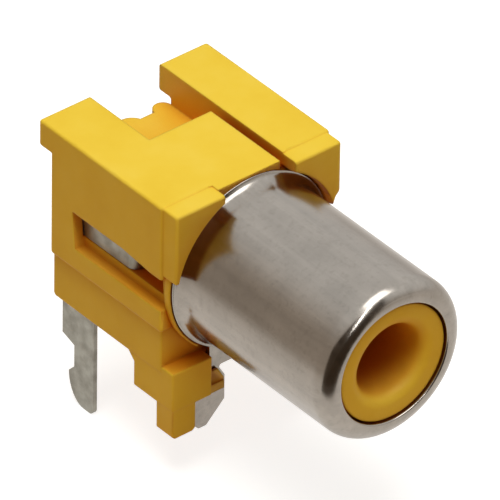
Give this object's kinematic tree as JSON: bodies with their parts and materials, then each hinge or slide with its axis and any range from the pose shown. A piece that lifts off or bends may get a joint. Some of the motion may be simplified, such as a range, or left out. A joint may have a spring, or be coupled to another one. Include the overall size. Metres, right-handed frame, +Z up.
{
  "type": "right-angle board-mount phono jack",
  "caption": "Right-angle board-mount phono jack: plated barrel round a moulded core, box housing with locating feet, ground lugs and a solder pin.",
  "frame": {"origin": "on the board's top face, straight under the barrel's axis, at the depth of the housing's front arms", "axes": "-Y along the barrel, towards the mating plug; +Z up, away from the board; +X to the right of someone who faces the rear wall"},
  "size_m": [0.0099, 0.0196, 0.0152],
  "materials": {
    "yellow_plastic": "moulded, satin",
    "nickel_plate": "satin plating with a soft reflection",
    "tin_plate": "dull plating"
  },
  "bodies": {
    "root": {"housing": "yellow_plastic", "ground_shell": "nickel_plate", "signal_contact": "tin_plate"}
  },
  "joints": []
}
